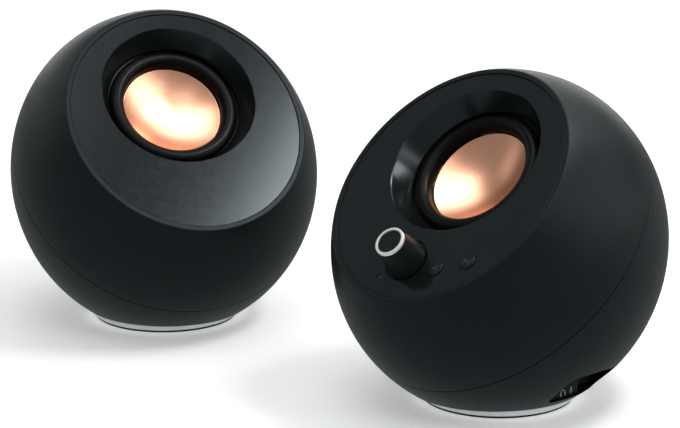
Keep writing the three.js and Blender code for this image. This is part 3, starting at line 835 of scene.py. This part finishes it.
def make_shells(side, pockets):
    place = SPEAKER[side] @ FACE
    body = HOUSING[side]
    front = stand_in(f"{side}_front_shell", front_shell(), place, body, "shell_black")
    rear = stand_in(f"{side}_rear_shell", rear_shell(pockets), SPEAKER[side], body, "shell_black")
    for shell in (front, rear):
        shade_as_ball(shell, place)


# ------------------------------------------------------------------ face and driver


def face_plate(holes):
    edge = [
        (0, PLATE_BOTTOM),
        (PLATE_ACROSS, PLATE_BOTTOM, 0.15),
        (PLATE_ACROSS, PLATE_TOP, 0.14),
        (0, PLATE_TOP),
    ]
    plate = turned(soften(edge), BALL_SIDES, STRETCH)
    horn = turned([
        (0, HORN_SKIRT_BOTTOM),
        (FLANGE_RADIUS, HORN_SKIRT_BOTTOM),
        (FLANGE_RADIUS, HORN_THROAT_TOP),
        (HORN_MOUTH + 2.2, PLATE_BOTTOM + 0.5),
        (0, PLATE_BOTTOM + 0.5),
    ])
    bore = turned([
        (0, HORN_SKIRT_BOTTOM - 1),
        *soften([
            (HORN_THROAT, HORN_SKIRT_BOTTOM - 1),
            (HORN_THROAT, HORN_THROAT_TOP, 0.15),
            (HORN_MOUTH, PLATE_TOP - HORN_LIP, HORN_LIP),
            (HORN_MOUTH + 0.35, PLATE_TOP + 0.02),
            (HORN_MOUTH + 0.35, PLATE_TOP + 2),
        ]),
        (0, PLATE_TOP + 2),
    ], BALL_SIDES)
    for part in (horn, bore):
        shifted(part, y=DRIVER_UP)
    return cut(joined(plate, horn), bore, *holes)


def well(place, radius, floor, chamfer=0.25):
    """A round hole in the face down to a floor, with a small rounded edge."""
    outline = soften([
        (0, floor),
        (radius, floor),
        (radius, PLATE_TOP - chamfer, chamfer / 2),
        (radius + chamfer, PLATE_TOP + 0.001),
        (radius + chamfer, PLATE_TOP + 2),
        (0, PLATE_TOP + 2),
    ])
    return shifted(turned(outline, KNOB_SIDES), place.x, place.y)


def control_holes():
    through = PLATE_BOTTOM - 1
    return [
        well(KNOB_PLACE, KNOB_WELL_RADIUS, PLATE_TOP - KNOB_WELL_DEPTH),
        well(KNOB_PLACE, BUSH_RADIUS + GAP, through),
        well(SOURCE_PLACE, BUTTON_RADIUS + BUTTON_GAP, through, 0.12),
        well(PAIRING_PLACE, BUTTON_RADIUS + BUTTON_GAP, through, 0.12),
        well(STATUS_PLACE, STATUS_RADIUS + 0.08, through, 0.15),
    ]


def surround():
    """A half roll of rubber between its glued foot and the cone's edge."""
    over = half_roll(ROLL_INNER, ROLL_OUTER, ROLL_FOOT, ROLL_CREST)
    under = half_roll(
        ROLL_INNER + ROLL_WALL, ROLL_OUTER - ROLL_WALL, ROLL_FOOT, ROLL_CREST - ROLL_WALL)
    points = [
        (ROLL_INNER, CONE_EDGE + 0.5),
        *over,
        (FLANGE_RADIUS - 0.2, ROLL_FOOT + 0.3, 0.2),
        (FLANGE_RADIUS - 0.2, ROLL_FOOT - 0.4),
        *under[::-1],
        (ROLL_INNER + ROLL_WALL, CONE_EDGE + 0.5),
    ]
    return turned(soften(points))


def cone():
    """A shallow dish with a narrow turned-over edge."""
    steps = 28
    lip = 0.35
    radii = [(CONE_RADIUS - lip) * i / steps for i in range(steps + 1)]
    dish = [(r, CONE_EDGE - CONE_DEPTH * (1 - (r / CONE_RADIUS) ** 2)) for r in radii]
    under = [(r, height - CONE_WALL) for r, height in dish[::-1]]
    edge = [(CONE_RADIUS, CONE_EDGE + 0.02, 0.1), (CONE_RADIUS, CONE_EDGE - CONE_WALL)]
    return mark_axis_distance(turned(soften([*dish, *edge, *under])))


def make_driver(side):
    place = SPEAKER[side] @ DRIVER
    stand_in(f"{side}_driver_cone", cone(), place, f"{side}_cone", "copper_cone")
    roll = set_down(f"{side}_driver_surround_detailed", surround(), place, "rubber")
    flex(roll, HOUSING[side], f"{side}_cone", place, ROLL_INNER, ROLL_OUTER)
    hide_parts(f"{side}_driver_surround")


def flex(piece, still, moving, place, inner, outer):
    """Bends a round roll between a still outer foot and an inner foot that moves."""
    centre = place.translation
    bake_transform(piece, still, moving, start=centre, end=centre + place.to_3x3().col[2])
    away = np.array([place.inverted() @ vertex.co for vertex in piece.data.vertices])
    share = np.clip((outer - np.hypot(away[:, 0], away[:, 1])) / (outer - inner), 0, 1)
    weights = share * share * (3 - 2 * share)
    attribute = piece.data.attributes["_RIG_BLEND"]
    attribute.data.foreach_set("value", weights.astype(np.float32))


# ------------------------------------------------------------------ passive radiator


def radiator_frame():
    return turned(soften([
        (RADIATOR_BEZEL, RADIATOR_FACE, 0.9),
        (RADIATOR_BEZEL_INNER, RADIATOR_FACE, 0.9),
        (RADIATOR_BEZEL_INNER, RADIATOR_SHELF),
        (RADIATOR_THROAT, RADIATOR_SHELF),
        (RADIATOR_THROAT, RADIATOR_BACK),
        (RADIATOR_FLANGE, RADIATOR_BACK),
        (RADIATOR_FLANGE, RADIATOR_SEAT),
        (RADIATOR_BEZEL, RADIATOR_SEAT),
    ]))


def radiator_surround():
    inner = RADIATOR_ROLL_INNER
    outer = RADIATOR_ROLL_OUTER
    low = RADIATOR_ROLL_LOW
    foot = RADIATOR_ROLL_FOOT
    crest = RADIATOR_ROLL_CREST
    over = half_roll(inner, outer, foot, crest)
    under = half_roll(inner + ROLL_WALL, outer - ROLL_WALL, foot, crest - ROLL_WALL)
    return turned([
        (inner, low),
        *over,
        (outer, low),
        (outer - ROLL_WALL, low),
        *under[::-1],
        (inner + ROLL_WALL, low),
    ])


def radiator_diaphragm():
    return turned(soften([
        (0, 50.6),
        (RADIATOR_DISC - 3, 50.6),
        (RADIATOR_DISC, 51.6),
        (RADIATOR_DISC, 53, 0.3),
        (RADIATOR_DISC - 1.6, 53, 0.5),
        (RADIATOR_DISC - 3.6, 51.8, 0.8),
        (9.4, 51.8, 0.15),
        (9.2, 51.5, 0.1),
        (8.6, 51.5, 0.1),
        (8.4, 51.8, 0.15),
        (0, 51.8),
    ]))


def make_radiator(side):
    place = SPEAKER[side] @ RADIATOR
    still = HOUSING[side]
    moving = f"{side}_radiator"
    stand_in(f"{side}_radiator_frame", radiator_frame(), place, still, "shell_black")
    stand_in(f"{side}_radiator_diaphragm", radiator_diaphragm(), place, moving, "plate_black")
    roll = set_down(f"{side}_radiator_surround_detailed", radiator_surround(), place, "rubber")
    flex(roll, still, moving, place, RADIATOR_ROLL_INNER, RADIATOR_ROLL_OUTER)
    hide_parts(f"{side}_radiator_surround")


# ------------------------------------------------------------------ base


def light_ring():
    return turned(soften([
        (BASE_RADIUS + GAP, GLOW_LOW),
        (FOOT_RADIUS + GAP, GLOW_LOW, 0.3),
        (GLOW_LIP_RADIUS, GLOW_LIP, 1.2),
        (GLOW_RADIUS, GLOW_TOP, 0.15),
        (BASE_RADIUS + GAP, GLOW_TOP),
    ]), BALL_SIDES)


def rubber_foot():
    grooves = [point for radius in (24.5, 20.5, 16.5) for point in (
        (radius, 0), (radius - 0.3, 0.35), (radius - 0.9, 0.35), (radius - 1.2, 0))]
    return turned([
        *soften([(0, FOOT_TOP), (FOOT_RADIUS, FOOT_TOP, 0.2), (FOOT_RADIUS, 0, 0.3), (25, 0)]),
        *grooves,
        (0, 0),
    ], BALL_SIDES)


def make_base(side):
    place = SPEAKER[side]
    body = HOUSING[side]
    stand_in(f"{side}_light_ring", light_ring(), place, body, "frosted_glow")
    stand_in(f"{side}_rubber_foot", rubber_foot(), place, body, "rubber", FOOT_LOOK)


# ------------------------------------------------------------------ controls


def knob_cap():
    foot = PLATE_TOP - KNOB_WELL_DEPTH + GAP
    top = PLATE_TOP + KNOB_HEIGHT
    return turned(soften([
        (0, top - 1.6),
        (SHAFT_RADIUS + GAP, top - 1.6),
        (SHAFT_RADIUS + GAP, foot),
        (KNOB_FOOT_RADIUS, foot),
        (KNOB_FOOT_RADIUS, foot + 0.8, 0.5),
        (KNOB_TOP_RADIUS, top - 1.3, 0.2),
        (RING_OUTER - 0.3, top - 1.3),
        (RING_OUTER - 0.3, top - 1.5),
        (RING_INNER - 0.1, top - 1.5),
        (RING_INNER - 0.1, top - 0.3, 0.2),
        (RING_INNER - 1, top - 0.42, 1.5),
        (0, top - 0.5),
    ]), KNOB_SIDES)


def knob_ring():
    top = PLATE_TOP + KNOB_HEIGHT
    outline = [
        (RING_INNER, top - 1.3),
        (RING_OUTER, top - 1.1),
        (RING_OUTER, top, 0.3),
        (RING_INNER, top, 0.12),
    ]
    return mark_axis_distance(turned(soften(outline), KNOB_SIDES))


def button():
    proud = PLATE_TOP + BUTTON_PROUD
    return turned(soften([
        (0, BUTTON_LOW),
        (BUTTON_STEM, BUTTON_LOW, 0.3),
        (BUTTON_STEM, COLLAR_LOW),
        (COLLAR_RADIUS, COLLAR_LOW, 0.1),
        (COLLAR_RADIUS, PLATE_BOTTOM - GAP),
        (BUTTON_RADIUS, PLATE_BOTTOM - GAP),
        (BUTTON_RADIUS, proud, 0.25),
        (BUTTON_RADIUS - 0.5, proud - 0.06, 0.3),
        (0, proud - 0.12),
    ]), BUTTON_SIDES)


def button_line(points):
    """A line of an icon, sunk a little into a button's hollow top."""
    return stroke(points, ICON_LINE, PRINT_LOW, PRINT_HIGH)


def source_icon():
    """A generic input mark: an arrow that points into a bracket."""
    bracket = [(0.1, 1.1), (1.3, 1.1), (1.3, -1.1), (0.1, -1.1)]
    shaft = [(-1.5, 0), (0.45, 0)]
    head = [(-0.2, 0.6), (0.5, 0), (-0.2, -0.6)]
    return gathered(*(button_line(points) for points in (bracket, shaft, head)))


def pairing_icon():
    """A generic wireless mark: a dot and two waves on each side."""
    dot = disc(0.28, PRINT_LOW, PRINT_HIGH, 24)
    waves = [
        button_line(arc_points((0, 0), radius, start, start + 84))
        for radius in (0.85, 1.5)
        for start in (-42, 138)
    ]
    return gathered(dot, *waves)


def make_controls():
    face = SPEAKER["right"] @ FACE
    at_knob = face @ Matrix.Translation(KNOB_PLACE)
    stand_in("knob_cap", knob_cap(), at_knob, "knob", "shell_black")
    stand_in("knob_ring", knob_ring(), at_knob, "knob", "knob_silver")
    icons = {"source": (SOURCE_PLACE, source_icon()), "pairing": (PAIRING_PLACE, pairing_icon())}
    for name, (place, icon) in icons.items():
        there = face @ Matrix.Translation(place)
        stand_in(f"{name}_button", button(), there, f"{name}_button", "plate_black")
        mark = set_down(f"{name}_icon", icon, there, "light_pipe", DIM_PRINT)
        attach(mark, f"{name}_button")
    lens = turned(soften([
        (0, STATUS_LOW),
        (STATUS_RADIUS, STATUS_LOW),
        (STATUS_RADIUS, PLATE_TOP - 0.2, 0.3),
        (0, PLATE_TOP - 0.12),
    ]), SMALL_SIDES)
    at_status = face @ Matrix.Translation(STATUS_PLACE)
    stand_in("status_light", lens, at_status, "root", "light_pipe")


# ------------------------------------------------------------------ pockets and sockets


def side_tray():
    """The tray in the side pocket: a shallow ledge in front of a step, and a deep floor."""
    floor_back = SIDE_FLOOR - TRAY_THICKNESS
    ledge_back = SIDE_LEDGE - TRAY_THICKNESS
    walls = block(
        (floor_back, SIDE_FRONT - TRAY_WALL, POCKET_LOW - 0.5),
        (FAR, SIDE_BACK + TRAY_WALL, POCKET_HIGH + TRAY_WALL))
    filling = common(side_prism(floor_back, 0.2), block((0, -FAR, 0), (SIDE_LEDGE, FAR, FAR)))
    front_space = block((0, -FAR, 0), (ledge_back, SIDE_STEP - TRAY_WALL, FAR))
    deep_space = behind(side_prism(SIDE_FLOOR), SIDE_STEP)
    holes = []
    for node in ("headphone_jack", "microphone_jack"):
        centre = centre_in(node, SPEAKER["right"])
        hole = moved(disc(JACK_HOLE, 0, FAR), Matrix.Rotation(math.pi / 2, 4, "Y"))
        holes.append(shifted(hole, 0, centre.y, centre.z))
    whole = joined(common(walls, rear_ball(WALL + GAP)), filling)
    return cut(whole, front_space, side_prism(SIDE_LEDGE), deep_space, *holes)


def rear_tray(half_width, holes):
    floor = block(
        (GAP - half_width, REAR_FLOOR - TRAY_THICKNESS, POCKET_LOW + GAP),
        (half_width - GAP, REAR_FLOOR + 0.2, POCKET_HIGH - GAP))
    reach = half_width + TRAY_WALL
    walls = block(
        (-reach, REAR_FLOOR - TRAY_THICKNESS, POCKET_LOW - 0.5),
        (reach, FAR, POCKET_HIGH + TRAY_WALL))
    sides = common(walls, rear_ball(WALL + GAP))
    return cut(joined(sides, floor), rear_pocket(half_width), *holes)


def backward_hole(centre):
    hole = moved(disc(JACK_HOLE, 0, FAR), Matrix.Rotation(-math.pi / 2, 4, "X"))
    return shifted(hole, centre.x, 0, centre.z)


def headphone_icon():
    """A band with two ear pads, drawn in the plane that its pocket's floor shows."""
    reach = 1.15
    half_pad = 0.36
    band = stroke(arc_points((0, 0), reach, 0, 180), 0.34, 0, ICON_THICKNESS)
    pads = []
    for middle in (-reach, reach):
        low = (middle - half_pad, -1.3, 0)
        pads.append(block(low, (middle + half_pad, 0.1, ICON_THICKNESS), [0.16] * 4))
    return gathered(band, *pads)


def microphone_icon():
    """A capsule over a cradle and a stem."""
    capsule = block((-0.42, -0.3, 0), (0.42, 1.3, ICON_THICKNESS), [0.4] * 4)
    cradle = stroke(arc_points((0, 0.1), 0.85, 190, 350), 0.22, 0, ICON_THICKNESS)
    stem = block((-0.12, -1.35, 0), (0.12, -0.7, ICON_THICKNESS))
    return gathered(capsule, cradle, stem)


def make_pockets():
    right = SPEAKER["right"]
    left = SPEAKER["left"]
    stand_in("side_port_tray", side_tray(), right, "root", "shell_black")
    usb = centre_in("usb_socket", right)
    low = (usb.x - USB_HALF_WIDTH, 0, usb.z - USB_HALF_HEIGHT)
    high = (usb.x + USB_HALF_WIDTH, FAR, usb.z + USB_HALF_HEIGHT)
    slot = block(low, high, [1.9] * 4, "Y")
    jacks = ("aux_jack", "right_link_jack")
    holes = [*(backward_hole(centre_in(node, right)) for node in jacks), slot]
    stand_in("rear_port_tray", rear_tray(REAR_HALF_WIDTH, holes), right, "root", "shell_black")
    left_tray = rear_tray(LINK_HALF_WIDTH, [backward_hole(centre_in("left_link_jack", left))])
    stand_in("left_port_tray", left_tray, left, "left_speaker", "shell_black")
    icons = {
        "headphone": (headphone_icon(), HEADPHONE_ICON),
        "microphone": (microphone_icon(), MICROPHONE_ICON),
    }
    for name, (icon, along) in icons.items():
        spot = (SIDE_LEDGE - 0.04, along, SIDE_ICON_HEIGHT)
        there = right @ Matrix.Translation(spot) @ SIDEWAYS
        mark = set_down(f"{name}_icon", icon, there, "light_pipe", BRIGHT_PRINT)
        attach(mark, "root")


# ------------------------------------------------------------------ carried-over CAD nodes


def dress_cad_nodes():
    """Gives each CAD node that still shows the look of its own material slot."""
    for part in frame["record"]["subparts"]:
        mesh = frame["nodes"][part["node"]].data
        mesh.materials.clear()
        mesh.materials.append(LOOKS[part["material_slot"]])


# ------------------------------------------------------------------ floor and light


def make_floor():
    bm = bmesh.new()
    bmesh.ops.create_grid(bm, x_segments=8, y_segments=8, size=6)
    floor = bpy.data.objects.new("floor", mesh_from(bm))
    bpy.context.scene.collection.objects.link(floor)
    made = Material("pale_floor", specular=0.1)
    made.colour(made.noise(400, 2), (0.86, 0.86, 0.86), (0.88, 0.88, 0.88))
    made.gloss(made.noise(80, 2), 0.75, 0.85)
    made.set("Emission Color", (1, 1, 1, 1))
    made.set("Emission Strength", 0.33)
    floor.data.materials.append(made.material)
    floor.visible_glossy = False


def softbox(name, place, size, radiance, aim=(0, 0, 0.06)):
    """A rectangular light, as bright as a surface of the given radiance."""
    data = bpy.data.lights.new(name, "AREA")
    data.shape = "RECTANGLE"
    data.size, data.size_y = size
    data.energy = radiance * math.pi * size[0] * size[1]
    light = bpy.data.objects.new(name, data)
    light.location = place
    light.rotation_euler = (Vector(aim) - Vector(place)).to_track_quat("-Z", "Y").to_euler()
    light.visible_camera = False
    bpy.context.scene.collection.objects.link(light)
    return light


def make_world():
    """A pale room that is a little brighter below the horizon than above it."""
    world = bpy.data.worlds.new("studio")
    bpy.context.scene.world = world
    world.use_nodes = True
    nodes = world.node_tree.nodes
    links = world.node_tree.links
    split = nodes.new("ShaderNodeSeparateXYZ")
    rise = nodes.new("ShaderNodeMapRange")
    rise.inputs["From Min"].default_value = -0.02
    rise.inputs["From Max"].default_value = 0.06
    rise.inputs["To Min"].default_value = 0.41
    rise.inputs["To Max"].default_value = 0.3
    background = nodes["Background"]
    background.inputs["Color"].default_value = (0.92, 0.97, 1, 1)
    links.new(nodes.new("ShaderNodeTexCoord").outputs["Generated"], split.inputs["Vector"])
    links.new(split.outputs["Z"], rise.inputs["Value"])
    links.new(rise.outputs["Result"], background.inputs["Strength"])


def only_for(light, *names):
    """Lets a light fall on the named pieces alone, as flags do in a studio."""
    lit = bpy.data.collections.new(f"lit_by_{light.name}")
    for name in names:
        lit.objects.link(bpy.data.objects[name])
    light.light_linking.receiver_collection = lit


def make_light():
    left_face = (-0.09, 0, 0.09)
    right_face = (0.07, -0.06, 0.09)
    cones = ("left_driver_cone_detailed", "right_driver_cone_detailed")
    softbox("back", (0.16, 0.92, 0.64), (0.8, 0.7), 1.2)
    softbox("back_right", (0.64, 0.37, 0.73), (0.5, 0.55), 1.05)
    softbox("back_low", (0, 1.19, 0.21), (1.4, 0.16), 2.7)
    softbox("right", (0.92, -0.2, 0.4), (0.8, 0.5), 1.2)
    softbox("right_low", (1.09, 0.1, 0.19), (1, 0.16), 0.45)
    softbox("left", (-0.81, 0.47, 0.4), (0.9, 0.5), 0.5)
    softbox("top_front", (-0.18, -0.25, 1.01), (0.8, 0.5), 1.4)
    softbox("front", (0.09, -0.66, 0.8), (0.5, 0.35), 1)
    softbox("top", (0, 0.17, 1.05), (0.6, 0.45), 1.3)
    softbox("over_left_face", (0.276, -0.055, 0.537), (0.2, 0.14), 16.7, left_face)
    softbox("over_left_rim", (0.006, -0.055, 0.537), (0.12, 0.12), 1, left_face)
    softbox("right_front", (0.563, -0.504, 0.537), (0.3, 0.3), 1.5, right_face)
    horn = softbox("into_right_horn", (0.705, -0.127, 0.57), (0.24, 0.3), 9, right_face)
    only_for(horn, "right_face_plate_detailed")
    over = softbox("over_cones", (0, 0.02, 1.0), (1, 0.95), 2)
    only_for(over, *cones)
    beside = softbox("beside_left_cone", (0.75, -0.12, 0.66), (0.66, 0.7), 2, left_face)
    only_for(beside, cones[0])
    make_world()
    bpy.context.scene.view_settings.view_transform = "Standard"


# ------------------------------------------------------------------ assembly

make_camera()
make_floor()
margin = TRAY_THICKNESS + GAP
make_shells("right", [
    side_prism(SIDE_LEDGE - margin),
    behind(side_prism(SIDE_FLOOR - margin), SIDE_STEP - margin),
    rear_pocket(REAR_HALF_WIDTH, margin),
])
make_shells("left", [rear_pocket(LINK_HALF_WIDTH, margin)])
plates = {"right": control_holes(), "left": []}
for side, holes in plates.items():
    plate = face_plate(holes)
    stand_in(f"{side}_face_plate", plate, SPEAKER[side] @ FACE, HOUSING[side], "plate_black")
    make_driver(side)
    make_radiator(side)
    make_base(side)
make_controls()
make_pockets()
dress_cad_nodes()
make_light()
